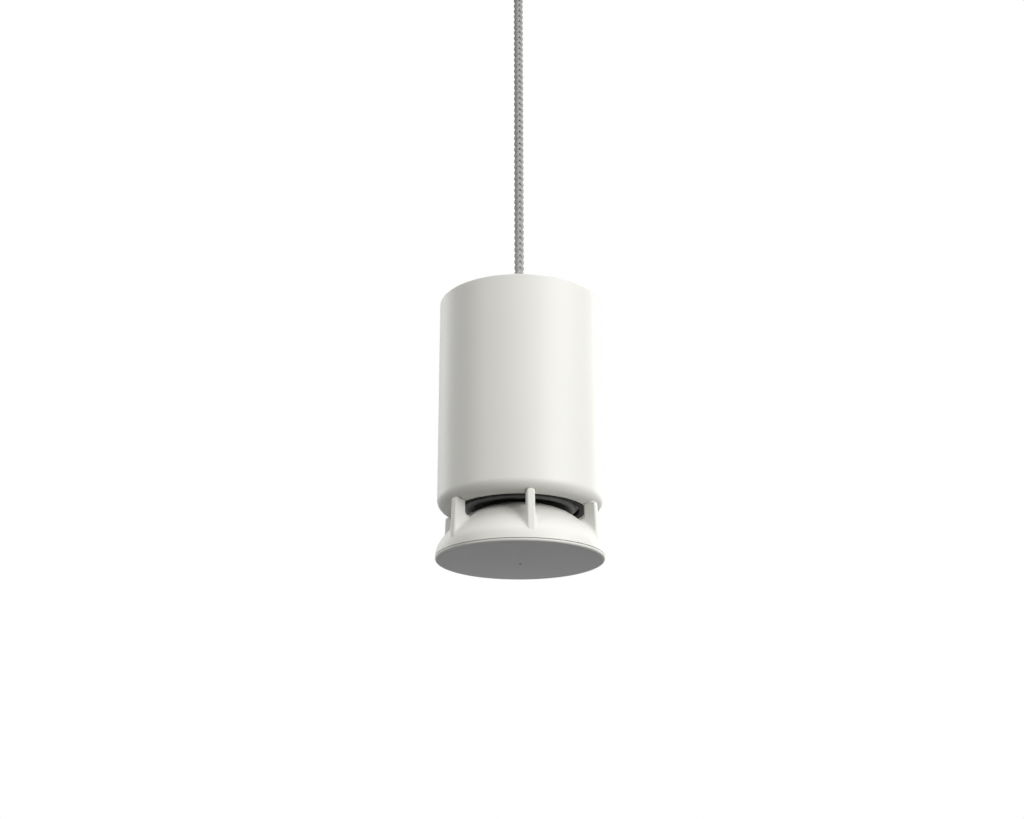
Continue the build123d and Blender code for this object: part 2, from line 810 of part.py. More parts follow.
def terminal_strip():
    """Fibre strip on the basket's neck, which carries the two tags."""
    depth = tag_strip_sheet + tag_strip_reach
    body = slab(tag_strip_width, depth, tag_level, tag_level + tag_strip_height, y=-tag_face + depth / 2)
    return body - cylinder(neck_radius + glue_gap, tag_level, tag_level + tag_strip_height)


def terminal_tags():
    tags = []
    for side in (-1, 1):
        low = tag_level + tag_foot
        tags.append(slab(tag_width, tag_sheet, low, low + tag_length,
                         x=side * lead_offset, y=-tag_face - tag_sheet / 2))
    return tags


def tinsel_leads():
    """Two flexible braids from the tags, through a window of the basket, to the cone's back."""
    start = tag_face + tag_sheet
    outside = start + tinsel_bow
    level = tag_level + tag_foot + tinsel_tag_height
    window_middle = flange_front + (basket_side_height + ledge_height) / 2
    end_level = cone_middle_level + cone_wall + tinsel_radius + tinsel_clearance
    wires = []
    for way in (-1, 1):
        x = way * lead_offset
        points = [(x, -start, level), (x, -outside, level), (x, -outside, window_middle),
                  (x, -cone_middle_radius, end_level)]
        wires.append(tube_along(points, tinsel_radius, tinsel_bend))
    return wires


# Reflector, cover and face disc


def dome_volume(radius, height, crown):
    """Solid under the reflector's curve, down to the reflector's foot."""
    points = [(radius * a, 0, crown - height * b) for a, b in dome_stations]
    curve = Spline(*points, tangents=[crown_direction, rim_direction])
    closing = Polyline(points[-1], (0, 0, crown - height), points[0])
    return revolve(Face(Wire(curve.edges() + closing.edges())), Axis.Z)


def reflector():
    dome = dome_volume(reflector_radius, reflector_height, crown_level)
    fins = round_about(fin_block(0.0), fin_angles)
    body = dome
    for fin in fins:
        body += fin
    roots = new_edges(dome, *fins, combined=body)
    body = fillet(roots, fin_root_radius)
    hollow = dome_volume(reflector_radius - reflector_wall, reflector_height - reflector_wall,
                         crown_level - reflector_wall)
    seat = crown_level - fin_screw_seat
    post = cylinder(fin_post_radius, seat, crown_level, x=fin_middle_radius)
    rib = slab(fin_middle_radius, reflector_rib_width, crown_level - reflector_wall - reflector_rib_depth,
               crown_level, x=fin_middle_radius / 2)
    seat_ring = cylinder(fin_seat_radius, fin_top - notch_clearance, fin_top + notch_clearance,
                         x=fin_middle_radius)
    for angle in fin_angles:
        body += Rot(0, 0, angle) * seat_ring
        hollow -= Rot(0, 0, angle) * post
        hollow -= Rot(0, 0, angle) * rib
    hollow -= cylinder(centre_post_radius, post_foot, crown_level)
    body -= hollow
    bore = cylinder(m3_radius + screw_clearance, seat - 0.5, fin_top + 1.0, x=fin_middle_radius)
    bore += cylinder(m3_head_radius + screw_clearance, reflector_foot, seat, x=fin_middle_radius)
    for hole in round_about(bore, fin_angles):
        body -= hole
    return body - cylinder(m3_pilot_radius, post_foot, post_foot + cover_screw_length)


def reflector_screws():
    seat = crown_level - fin_screw_seat
    screw = pan_screw(fin_screw_length)
    return round_about(Pos(fin_middle_radius, 0, seat) * screw, fin_angles)


def bottom_cover():
    rim_top = reflector_foot - shadow_gap
    body = cylinder(reflector_radius, face_level, rim_top)
    body = fillet(body.edges().sort_by(Axis.Z)[0], cover_edge_radius)
    body += cylinder(reflector_radius - cover_land_width, face_level + face_thickness, reflector_foot)
    body += ring(spigot_radius, spigot_radius - spigot_wall, reflector_foot, reflector_foot + spigot_height)
    body -= cylinder(spigot_radius - spigot_wall, plate_top, reflector_foot + spigot_height)
    body -= cylinder(face_radius, face_level, face_level + face_thickness)
    hole = Pos(0, 0, face_level + face_thickness) * sunk_hole(m3_radius, m3_head_radius, cover_plate + 0.01)
    return body - hole


def cover_screw():
    screw = sunk_screw(cover_screw_length, m3_radius, m3_head_radius)
    return Pos(0, 0, face_level + face_thickness) * screw


def face_disc():
    """Face plate, a little crowned underneath, with its pinhole."""
    edge = face_radius - face_clearance
    bow = (edge ** 2 + face_crown ** 2) / (2 * face_crown)
    lowest = face_level - face_crown
    middle = (edge / 2, 0, lowest + bow - math.sqrt(bow ** 2 - (edge / 2) ** 2))
    arc = ThreePointArc((0, 0, lowest), middle, (edge, 0, face_level))
    sides = Polyline((edge, 0, face_level), (edge, 0, face_level + face_thickness),
                     (0, 0, face_level + face_thickness), (0, 0, lowest))
    body = revolve(Face(Wire(arc.edges() + sides.edges())), Axis.Z)
    return body - cylinder(face_pinhole_radius, lowest, face_level + face_thickness)


def canopy_nut():
    return hex_nut(canopy_floor + canopy_wall)


def gland_nut():
    return hex_nut(cap_seat - nut_height)


def ceiling_block():
    return terminal_block(-bracket_sheet)


def inner_block():
    return Pos(0, block_offset, 0) * terminal_block(cap_seat)


def ceiling_block_screws():
    return block_screws(-bracket_sheet)


def inner_block_screws():
    return block_screws(cap_seat, y=block_offset)


pieces = [
    ceiling_bracket, ceiling_canopy, canopy_screws, canopy_cord_grip, canopy_nut, ceiling_block,
    ceiling_block_screws, ceiling_conductors, braided_cord, housing_gland, gland_nut, cord_ferrule,
    top_cap, cap_seal, cap_screws, transformer_core, transformer_winding, transformer_strap,
    transformer_screws, inner_block, inner_block_screws, inner_conductors, driver_leads, damping_wad,
    housing, driver_basket, driver_gasket, front_trim_ring, driver_screws, top_plate, magnet_ring,
    pole_plate, spider, voice_coil_former, voice_coil, cone, dust_cap, surround, terminal_strip,
    terminal_tags, tinsel_leads, reflector, reflector_screws, bottom_cover, cover_screw, face_disc]

os.makedirs("parts", exist_ok=True)
for piece in pieces:
    shape = piece()
    if isinstance(shape, list):
        shape = Compound(children=shape)
    export_step(shape, f"parts/{piece.__name__}.step")
    print(piece.__name__, round(shape.volume, 1))
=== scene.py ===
"""Looks of a pendant loudspeaker: finishes, the braided cord, the soft parts and the studio."""
import json
import math
import bpy
from mathutils import Matrix, Vector


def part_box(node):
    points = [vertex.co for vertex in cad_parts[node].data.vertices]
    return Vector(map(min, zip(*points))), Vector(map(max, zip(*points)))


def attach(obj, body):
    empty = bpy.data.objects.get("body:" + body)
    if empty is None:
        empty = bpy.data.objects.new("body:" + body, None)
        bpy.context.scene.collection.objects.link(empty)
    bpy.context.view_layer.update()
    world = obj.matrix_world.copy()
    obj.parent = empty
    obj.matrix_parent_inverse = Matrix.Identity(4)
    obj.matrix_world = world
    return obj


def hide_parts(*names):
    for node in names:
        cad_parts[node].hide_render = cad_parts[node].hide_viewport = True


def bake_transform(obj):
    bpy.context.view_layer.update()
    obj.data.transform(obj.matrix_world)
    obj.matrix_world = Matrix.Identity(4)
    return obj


bl_info = {
    "name": "Pendant Speaker",
    "version": (1, 0, 0),
    "blender": (4, 5, 0),
    "location": "View3D > Sidebar > Speaker",
    "description": "Dresses the pendant speaker's frame and sets up its studio",
    "category": "Object",
}

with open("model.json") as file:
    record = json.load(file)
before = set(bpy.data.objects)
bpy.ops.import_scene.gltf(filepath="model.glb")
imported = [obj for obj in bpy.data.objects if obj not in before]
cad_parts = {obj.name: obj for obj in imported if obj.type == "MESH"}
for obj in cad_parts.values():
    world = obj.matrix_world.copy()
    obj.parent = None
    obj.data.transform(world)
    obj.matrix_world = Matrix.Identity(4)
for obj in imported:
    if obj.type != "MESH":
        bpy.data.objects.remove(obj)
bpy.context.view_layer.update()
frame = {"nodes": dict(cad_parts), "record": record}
MM = 0.001
MERGE_DISTANCE = 0.002 * MM
SMOOTH_ANGLE = math.radians(40)

# The cord's filling has this U all over, which tells it from the strands; the yarn finish gives it painted
# shade, a quarter of the yarn's colour, for the shadow between the strands
FILLING_U = 2.0

# Places that the frame gives
HOUSING_LOW, HOUSING_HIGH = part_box("housing")
HOUSING_TOP = HOUSING_HIGH.z
CORD_LOW, CORD_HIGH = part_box("braided_cord")
CORD_RADIUS = CORD_HIGH.x
SURROUND_LOW, SURROUND_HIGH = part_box("surround")
CONE_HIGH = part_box("cone")[1]
SPIDER_LOW, SPIDER_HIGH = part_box("spider")
FORMER_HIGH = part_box("voice_coil_former")[1]


# Sizes and colours that a user would change


class StudioSettings(bpy.types.PropertyGroup):
    lens: bpy.props.FloatProperty(name="Lens", description="Focal length on a 36 mm sensor", default=50.0)
    distance: bpy.props.FloatProperty(
        name="Distance", description="From the speaker's axis, on the level", default=912.0 * MM,
        subtype="DISTANCE", unit="LENGTH")
    drop: bpy.props.FloatProperty(
        name="Drop", description="Camera below the housing's top", default=396.06 * MM,
        subtype="DISTANCE", unit="LENGTH")
    azimuth: bpy.props.FloatProperty(
        name="Azimuth", description="Camera's place round the speaker", default=math.radians(-7.5),
        subtype="ANGLE", unit="ROTATION")
    pitch: bpy.props.FloatProperty(
        name="Pitch", description="Camera looks up by this", default=math.radians(19.335),
        subtype="ANGLE", unit="ROTATION")
    yaw: bpy.props.FloatProperty(
        name="Yaw", description="Camera looks past the axis by this", default=math.radians(-0.326),
        subtype="ANGLE", unit="ROTATION")
    roll: bpy.props.FloatProperty(
        name="Roll", description="Camera leans by this", default=math.radians(-0.08),
        subtype="ANGLE", unit="ROTATION")
    floor_level: bpy.props.FloatProperty(
        name="Floor", description="Height of the floor under the ceiling", default=-2.2,
        subtype="DISTANCE", unit="LENGTH")
    floor_colour: bpy.props.FloatVectorProperty(
        name="Floor colour", description="Pale floor, as the speaker sees it", default=(0.12, 0.12, 0.12),
        subtype="COLOR", size=3, min=0.0, max=1.0)
    sky: bpy.props.FloatProperty(name="Sky", description="Brightness of the light overhead", default=1.75)
    key_power: bpy.props.FloatProperty(
        name="Key", description="Watts of the lamp at the right", default=47.0)
    side_power: bpy.props.FloatProperty(
        name="Side", description="Watts of the higher lamp, further to the right", default=26.0)
    fill_power: bpy.props.FloatProperty(
        name="Fill", description="Watts of the lamp at the left", default=22.0)
    back_power: bpy.props.FloatProperty(
        name="Back", description="Watts of the lamp behind and to the right", default=13.0)
    edge_power: bpy.props.FloatProperty(
        name="Edge", description="Watts of the lamp behind and to the left", default=13.0)
    lamp_distance: bpy.props.FloatProperty(
        name="Lamp distance", description="From the speaker to each lamp", default=2.65,
        subtype="DISTANCE", unit="LENGTH")
    lamp_size: bpy.props.FloatProperty(
        name="Lamp size", description="Side of each square lamp", default=1.2, subtype="DISTANCE",
        unit="LENGTH")


class CordSettings(bpy.types.PropertyGroup):
    lay_length: bpy.props.FloatProperty(
        name="Lay", description="Length of one turn of a strand", default=28.3 * MM,
        subtype="DISTANCE", unit="LENGTH")
    strands: bpy.props.IntProperty(name="Strands", description="Strands that turn each way", default=6)
    strand_half_width: bpy.props.FloatProperty(
        name="Half width", description="Half the width of a strand", default=1.10 * MM,
        subtype="DISTANCE", unit="LENGTH")
    strand_half_thickness: bpy.props.FloatProperty(
        name="Half thickness", description="Half the thickness of a strand", default=0.74 * MM,
        subtype="DISTANCE", unit="LENGTH")
    crimp: bpy.props.FloatProperty(
        name="Crimp", description="How far a strand rises and dips", default=0.55 * MM,
        subtype="DISTANCE", unit="LENGTH")
    first_column: bpy.props.FloatProperty(
        name="First column", description="Direction of one column of raised strands",
        default=math.radians(-58.0), subtype="ANGLE", unit="ROTATION")
    colour: bpy.props.FloatVectorProperty(
        name="Yarn", description="Colour of the yarn", default=(0.36, 0.357, 0.35),
        subtype="COLOR", size=3, min=0.0, max=1.0)


class BodySettings(bpy.types.PropertyGroup):
    shell_colour: bpy.props.FloatVectorProperty(
        name="Shell", description="Warm white of the mouldings", default=(0.73, 0.724, 0.683),
        subtype="COLOR", size=3, min=0.0, max=1.0)
    face_colour: bpy.props.FloatVectorProperty(
        name="Face", description="Neutral grey of the face under the reflector",
        default=(0.60, 0.60, 0.60), subtype="COLOR", size=3, min=0.0, max=1.0)
    shell_roughness: bpy.props.FloatProperty(
        name="Roughness", description="Satin of the mouldings", default=0.45, min=0.0, max=1.0)
    grain: bpy.props.FloatProperty(
        name="Grain", description="Size of the moulded grain", default=0.35 * MM,
        subtype="DISTANCE", unit="LENGTH")


class DriverSettings(bpy.types.PropertyGroup):
    cone_colour: bpy.props.FloatVectorProperty(
        name="Cone", description="Dark pressed paper", default=(0.14, 0.14, 0.142),
        subtype="COLOR", size=3, min=0.0, max=1.0)
    rubber_colour: bpy.props.FloatVectorProperty(
        name="Surround", description="Rubber of the surround", default=(0.15, 0.15, 0.15),
        subtype="COLOR", size=3, min=0.0, max=1.0)
    trim_colour: bpy.props.FloatVectorProperty(
        name="Trim", description="Black plastics and coats", default=(0.006, 0.006, 0.007),
        subtype="COLOR", size=3, min=0.0, max=1.0)
    sectors: bpy.props.IntProperty(
        name="Sectors", description="Pieces of the surround and the spider, each of which bends by itself",
        default=24)


# Shader maths


class Value:
    """A node's output that Python's operators work on."""

    def __init__(self, finish, link):
        self.finish = finish
        self.link = link

    def maths(self, operation, first, second=None):
        return self.finish.maths(operation, first, second)

    def __add__(self, other):
        return self.maths("ADD", self, other)

    def __radd__(self, other):
        return self.maths("ADD", other, self)

    def __sub__(self, other):
        return self.maths("SUBTRACT", self, other)

    def __rsub__(self, other):
        return self.maths("SUBTRACT", other, self)

    def __mul__(self, other):
        return self.maths("MULTIPLY", self, other)

    def __rmul__(self, other):
        return self.maths("MULTIPLY", other, self)

    def __truediv__(self, other):
        return self.maths("DIVIDE", self, other)

    def __pow__(self, other):
        return self.maths("POWER", self, other)

    def sine(self):
        return self.maths("SINE", self)

    def wave(self, period):
        """A wave from 0 to 1 that repeats each period."""
        return (self * (2 * math.pi / period)).sine() * 0.5 + 0.5


class Nodes:
    """A node tree that is written as expressions."""

    def __init__(self, tree):
        self.tree = tree

    def node(self, kind, settings, inputs, output=0):
        """Adds a node with its settings first and then its sockets' values or links."""
        made = self.tree.nodes.new(kind)
        for key, value in settings.items():
            if key == "stops":
                self.fill_ramp(made.color_ramp, value)
            else:
                setattr(made, key, value)
        for key, value in inputs.items():
            if isinstance(value, Value):
                self.tree.links.new(value.link, made.inputs[key])
            else:
                made.inputs[key].default_value = value
        return Value(self, made.outputs[output])

    def maths(self, operation, first, second=None):
        inputs = {0: first} if second is None else {0: first, 1: second}
        return self.node("ShaderNodeMath", {"operation": operation}, inputs)

    def part(self, vector, axis):
        """One coordinate of a vector: X, Y or Z."""
        return self.node("ShaderNodeSeparateXYZ", {}, {0: vector}, axis)

    def fill_ramp(self, ramp, stops):
        while len(ramp.elements) < len(stops):
            ramp.elements.new(0.5)
        for element, (position, colour) in zip(ramp.elements, stops):
            element.position = position
            element.color = (*colour, 1.0)


class Finish(Nodes):
    """A material that is built from nodes."""

    def __init__(self, name, colour, roughness, **sockets):
        self.material = bpy.data.materials.new(name)
        self.material.use_nodes = True
        super().__init__(self.material.node_tree)
        self.surface = self.tree.nodes["Principled BSDF"]
        self.set("Base Color", (*colour, 1.0))
        self.set("Roughness", roughness)
        for key, value in sockets.items():
            self.set(key.replace("_", " "), value)

    def set(self, socket, value):
        """Sets one of the surface's sockets to a value or links it."""
        if isinstance(value, Value):
            self.tree.links.new(value.link, self.surface.inputs[socket])
        else:
            self.surface.inputs[socket].default_value = value

    def place(self):
        """Object coordinates, in metres."""
        return self.node("ShaderNodeTexCoord", {}, {}, "Object")

    def uv(self):
        return self.node("ShaderNodeTexCoord", {}, {}, "UV")

    def radius(self, vector):
        """Distance from the speaker's axis."""
        x, y = self.part(vector, "X"), self.part(vector, "Y")
        return (x * x + y * y) ** 0.5

    def noise(self, vector, size, detail=2.0, roughness=0.5):
        """Noise from 0 to 1 whose grains are about one size across."""
        return self.node("ShaderNodeTexNoise", {}, {
            "Vector": vector, "Scale": 1.0 / size, "Detail": detail, "Roughness": roughness}, "Fac")

    def blend(self, factor, first, second):
        """A colour between two, by a factor."""
        return self.node("ShaderNodeMix", {"data_type": "RGBA"}, {
            "Factor": factor, 6: (*first, 1.0), 7: (*second, 1.0)}, 2)

    def relief(self, height, depth):
        """Bumps the surface by a height of 0 to 1, which stands for a depth in metres."""
        self.set("Normal", self.node("ShaderNodeBump", {}, {"Distance": depth, "Height": height}, "Normal"))


def seen_rays(made):
    """1 for the rays that the eye follows, straight or through gloss and glass, and 0 for the rest."""
    ray = [made.node("ShaderNodeLightPath", {}, {}, f"Is {kind} Ray")
           for kind in ("Camera", "Glossy", "Transmission")]
    return made.node("ShaderNodeClamp", {}, {"Value": ray[0] + ray[1] + ray[2]})


def shade(colour, factor):
    return tuple(min(1.0, channel * factor) for channel in colour)


def moulding(name, colour, roughness, grain, depth=0.012 * MM):
    """Satin moulded plastic: fine grain, a faint cloudiness and a slight change of gloss."""
    made = Finish(name, colour, roughness, Specular_IOR_Level=0.30)
    place = made.place()
    clouds = made.noise(place, size=38 * MM, detail=3.0)
    made.set("Base Color", made.blend(clouds, shade(colour, 0.985), shade(colour, 1.015)))
    flow = made.noise(place, size=9 * MM)
    made.set("Roughness", roughness - 0.03 + flow * 0.06)
    made.relief(made.noise(place, grain), depth)
    return made.material


def speckled(name, colour, roughness, grain, contrast=0.06, depth=0.01 * MM):
    """Fine even speckle, as on a textured or powder-coated face."""
    made = Finish(name, colour, roughness, Specular_IOR_Level=0.4)
    place = made.place()
    fine = made.noise(place, grain, 3.0, 0.6)
    made.set("Base Color", made.blend(fine, shade(colour, 1 - contrast), shade(colour, 1 + contrast)))
    made.relief(fine, depth)
    return made.material


def bare_metal(name, colour, roughness, streak):
    """Plated or brushed metal: fine streaks round the axis and blotches in its gloss."""
    made = Finish(name, colour, roughness, Metallic=1.0)
    place = made.place()
    level = made.part(place, "Z")
    wander = made.noise(place, 4 * MM, 2.0)
    lines = (level / streak + wander * 6.0).sine() * 0.5 + 0.5
    blotch = made.noise(place, 6 * MM, 3.0)
    made.set("Base Color", made.blend(blotch, shade(colour, 0.90), shade(colour, 1.06)))
    made.set("Roughness", roughness + blotch * 0.10 + lines * 0.04)
    made.relief(lines, 0.004 * MM)
    return made.material


def wound_wire(name, colour, roughness, pitch, metallic):
    """Turns of wire or laminations stacked along the axis."""
    made = Finish(name, colour, roughness, Metallic=metallic)
    place = made.place()
    turns = made.part(place, "Z").wave(pitch)
    tone = made.noise(place, 1.5 * MM, 2.0)
    made.set("Base Color", made.blend(turns * 0.7 + tone * 0.3, shade(colour, 0.55), shade(colour, 1.1)))
    made.relief(turns, 0.08 * MM)
    return made.material


def laminated(name, colour, sheet=0.5 * MM):
    """Edges of thin varnished sheets, stacked along Y."""
    made = Finish(name, colour, 0.4, Metallic=0.7)
    place = made.place()
    sheets = made.part(place, "Y").wave(sheet)
    varnish = made.noise(place, 3 * MM, 3.0)
    made.set("Base Color", made.blend(sheets * 0.6 + varnish * 0.4, shade(colour, 0.5), shade(colour, 1.3)))
    made.relief(sheets, 0.05 * MM)
    return made.material


def pressed_paper(name, colour, ring_pitch=1.4 * MM):
    """Dark pulp with fibres and the fine rings of its press tool."""
    made = Finish(name, colour, 0.78, Specular_IOR_Level=0.3)
    place = made.place()
    rings = made.radius(place).wave(ring_pitch)
    fibre = made.noise(place, 0.5 * MM, 5.0, 0.7)
    made.set("Base Color", made.blend(fibre, shade(colour, 0.7), shade(colour, 1.5)))
    made.relief(fibre * 0.6 + rings * 0.4, 0.06 * MM)
    return made.material


def woven(name, colour, pitch, depth):
    """Plain-woven cloth, its threads along X and Y."""
    made = Finish(name, colour, 0.85, Sheen_Weight=0.3)
    place = made.place()
    turn = 2 * math.pi / pitch
    warp = (made.part(place, "X") * turn).sine()
    weft = (made.part(place, "Y") * turn).sine()
    weave = warp * weft * 0.5 + 0.5
    fade = made.noise(place, 2 * MM, 3.0)
    made.set("Base Color", made.blend(weave * 0.6 + fade * 0.4, shade(colour, 0.7), shade(colour, 1.25)))
    made.relief(weave, depth)
    return made.material


def rubber(name, colour, roughness):
    """Soft rubber with a dusty bloom."""
    made = Finish(name, colour, roughness, Specular_IOR_Level=0.45)
    place = made.place()
    bloom = made.noise(place, 5 * MM, 4.0)
    made.set("Base Color", made.blend(bloom, shade(colour, 0.85), shade(colour, 1.35)))
    made.set("Roughness", roughness - 0.06 + bloom * 0.14)
    made.relief(made.noise(place, 0.25 * MM, 2.0), 0.01 * MM)
    return made.material


def fibre_fill(name, colour):
    """Loose polyester fibre."""
    made = Finish(name, colour, 0.95, Sheen_Weight=0.5)
    place = made.place()
    strands = made.noise(place, 1.6 * MM, 8.0, 0.75)
    made.set("Base Color", made.blend(strands, shade(colour, 0.75), shade(colour, 1.12)))
    made.relief(strands, 0.5 * MM)
    return made.material


def sintered(name, colour):
    """Pressed and fired ferrite with small pores."""
    made = Finish(name, colour, 0.6, Specular_IOR_Level=0.5)
    place = made.place()
    pores = made.noise(place, 0.6 * MM, 6.0, 0.7)
    made.set("Base Color", made.blend(pores, shade(colour, 0.6), shade(colour, 1.6)))
    made.relief(pores, 0.05 * MM)
    return made.material


def clear_nylon(name, colour):
    """Milky nylon of a terminal block."""
    made = Finish(name, colour, 0.3, Subsurface_Weight=0.15, Coat_Roughness=0.2)
    place = made.place()
    flow = made.noise(place, 5 * MM, 2.0)
    made.set("Base Color", made.blend(flow, shade(colour, 0.94), shade(colour, 1.03)))
    made.relief(made.noise(place, 0.8 * MM, 2.0), 0.01 * MM)
    return made.material


def wrapped_tape(name, colour, width=6.5 * MM):
    """Turns of polyester tape round the winding."""
    made = Finish(name, colour, 0.25, Coat_Weight=0.4)
    place = made.place()
    seam = (made.part(place, "Z") * (2 * math.pi / width)).sine() ** 8.0
    flow = made.noise(place, 3 * MM, 3.0)
    made.set("Base Color", made.blend(seam * 0.5 + flow * 0.3, colour, shade(colour, 0.5)))
    made.relief(seam, 0.05 * MM)
    return made.material


def board(name, colour):
    """Phenolic paper board, its fibres along X."""
    made = Finish(name, colour, 0.5, Specular_IOR_Level=0.5)
    place = made.place()
    stretched = made.node("ShaderNodeMapping", {}, {"Vector": place, "Scale": (0.15, 1.0, 1.0)})
    fibre = made.noise(stretched, 0.5 * MM, 5.0)
    made.set("Base Color", made.blend(fibre, shade(colour, 0.7), shade(colour, 1.25)))
    made.relief(fibre, 0.02 * MM)
    return made.material


def yarn(name, colour):
    """Yarns side by side along a strand, whose U goes from 0 to 1 round it and V along it, in millimetres."""
    made = Finish(name, colour, 0.88, Sheen_Weight=0.25, Sheen_Roughness=0.5)
    uv = made.uv()
    across, along = made.part(uv, "X"), made.part(uv, "Y")
    yarns = (across * 5.0 + along * 0.10).wave(1.0)
    twist = (across * 9.0 + along * 0.35).wave(1.0)
    lint = made.noise(made.place(), 0.7 * MM, 3.0)
    # Painted shade: the filling's faces take the ramp's darkest stop, a quarter of the yarn's colour, for the
    # shadow between the strands
    filling = made.maths("GREATER_THAN", across, FILLING_U - 0.5)
    tone = (yarns * 0.45 + twist * 0.2 + lint * 0.35) * (1 - filling) - filling
    ramp = [(0.0, shade(colour, 0.25)), (0.02, shade(colour, 0.80)), (1.0, shade(colour, 1.18))]
    made.set("Base Color", made.node("ShaderNodeValToRGB", {"stops": ramp}, {"Fac": tone}, "Color"))
    made.relief(yarns * 0.7 + twist * 0.3, 0.05 * MM)
    return made.material


def mix_finishes(context):
    """Every finish of the record, by its slot."""
    body = context.scene.speaker_body
    driver = context.scene.speaker_driver
    shell, rough, grain = body.shell_colour, body.shell_roughness, body.grain
    zinc = (0.60, 0.60, 0.585)
    return {
        "canopy_white": speckled("Powder coat", shell, 0.45, 0.5 * MM, 0.015, 0.02 * MM),
        "zinc": bare_metal("Zinc-plated sheet", zinc, 0.34, 0.12 * MM),
        "screw_steel": bare_metal("Nickel-plated screw", (0.72, 0.71, 0.69), 0.22, 0.2 * MM),
        "fitting_white": moulding("White nylon", shade(shell, 0.98), 0.36, 0.5 * MM),
        "nut_steel": bare_metal("Plated nut", zinc, 0.38, 0.15 * MM),
        "block_nylon": clear_nylon("Milky nylon", (0.80, 0.80, 0.75)),
        "terminal_brass": bare_metal("Brass", (0.74, 0.55, 0.26), 0.30, 0.2 * MM),
        "wire_cover": rubber("Wire cover", (0.045, 0.045, 0.05), 0.42),
        "cord_textile": yarn("Cord yarn", context.scene.speaker_cord.colour),
        "ferrule_metal": bare_metal("Crimped aluminium", (0.68, 0.68, 0.68), 0.35, 0.2 * MM),
        "cap_white": moulding("Cap moulding", shell, rough, grain),
        "housing_white": moulding("Housing moulding", shell, rough, grain),
        "reflector_white": moulding("Reflector moulding", shell, rough, grain),
        "cover_white": moulding("Cover moulding", shell, rough, grain),
        "face_grey": speckled("Grey face", body.face_colour, 0.5, 0.9 * MM, 0.035, 0.006 * MM),
        "seal_rubber": rubber("Foam seal", (0.03, 0.03, 0.03), 0.8),
        "core_steel": laminated("Laminations", (0.20, 0.20, 0.21)),
        "winding_tape": wrapped_tape("Winding tape", (0.62, 0.46, 0.10)),
        "wad_fibre": fibre_fill("Polyester fibre", (0.74, 0.74, 0.71)),
        "basket_black": speckled("Black coat", shade(driver.trim_colour, 1.6), 0.45, 0.4 * MM, 0.2),
        "trim_black": moulding("Matt black", driver.trim_colour, 0.7, 0.3 * MM),
        "driver_screw_black": bare_metal("Black zinc", (0.05, 0.05, 0.052), 0.35, 0.2 * MM),
        "plate_steel": bare_metal("Turned steel", (0.55, 0.55, 0.54), 0.3, 0.2 * MM),
        "magnet_ferrite": sintered("Ferrite", (0.045, 0.045, 0.048)),
        "spider_cloth": woven("Dipped cloth", (0.58, 0.46, 0.22), 0.9 * MM, 0.08 * MM),
        "former_film": moulding("Amber film", (0.42, 0.24, 0.05), 0.2, 1.0 * MM),
        "coil_copper": wound_wire("Enamelled wire", (0.72, 0.34, 0.16), 0.25, 0.35 * MM, 0.9),
        "cone_paper": pressed_paper("Pressed paper", driver.cone_colour),
        "cap_cloth": woven("Treated cloth", shade(driver.cone_colour, 0.8), 0.7 * MM, 0.05 * MM),
        "surround_rubber": rubber("Surround rubber", driver.rubber_colour, 0.5),
        "strip_board": board("Phenolic board", (0.30, 0.16, 0.06)),
        "tinsel_wire": wound_wire("Tinsel braid", (0.70, 0.42, 0.24), 0.35, 0.5 * MM, 0.8),
    }


# Filled by the finishes' operator before the pieces are made
FINISHES = {}


def wear(piece, slot):
    """Gives a piece one of the record's finishes."""
    piece.data.materials.clear()
    piece.data.materials.append(FINISHES[slot])


# Modelling helpers


def deselect():
    if bpy.context.object and bpy.context.object.mode != "OBJECT":
        bpy.ops.object.mode_set(mode="OBJECT")
    bpy.ops.object.select_all(action="DESELECT")


def pick(piece):
    """Makes a piece the one that operators work on."""
    deselect()
    piece.select_set(True)
    bpy.context.view_layer.objects.active = piece


def copy_solid(context, node, name):
    """A merged copy of a solid's mesh, left in edit mode with all of it selected."""
    piece = bpy.data.objects.new(name, frame["nodes"][node].data.copy())
    context.collection.objects.link(piece)
    pick(piece)
    bpy.ops.object.mode_set(mode="EDIT")
    bpy.ops.mesh.select_all(action="SELECT")
    bpy.ops.mesh.remove_doubles(threshold=MERGE_DISTANCE)
    return piece


def draw_outline(name, points):
    """An object whose mesh is one chain of edges through (radius, height) points in the plane y = 0."""
    deselect()
    bpy.ops.mesh.primitive_plane_add(size=MM, location=(0, 0, 0))
    piece = bpy.context.object
    piece.name = name
    bpy.ops.object.mode_set(mode="EDIT")
    bpy.ops.mesh.select_all(action="SELECT")
    bpy.ops.mesh.merge(type="CENTER")
    here = Vector((points[0][0], 0, points[0][1]))
    bpy.ops.transform.translate(value=here)
    for radius, height in points[1:]:
        there = Vector((radius, 0, height))
        bpy.ops.mesh.extrude_region_move(TRANSFORM_OT_translate={"value": there - here})
        here = there
    bpy.ops.mesh.select_all(action="SELECT")
    return piece


def arc(centre, radius, start, end, steps):
    """Points of an arc, by angles in degrees."""
    turns = [math.radians(start + (end - start) * i / steps) for i in range(steps + 1)]
    return [(centre[0] + radius * math.cos(t), centre[1] + radius * math.sin(t)) for t in turns]


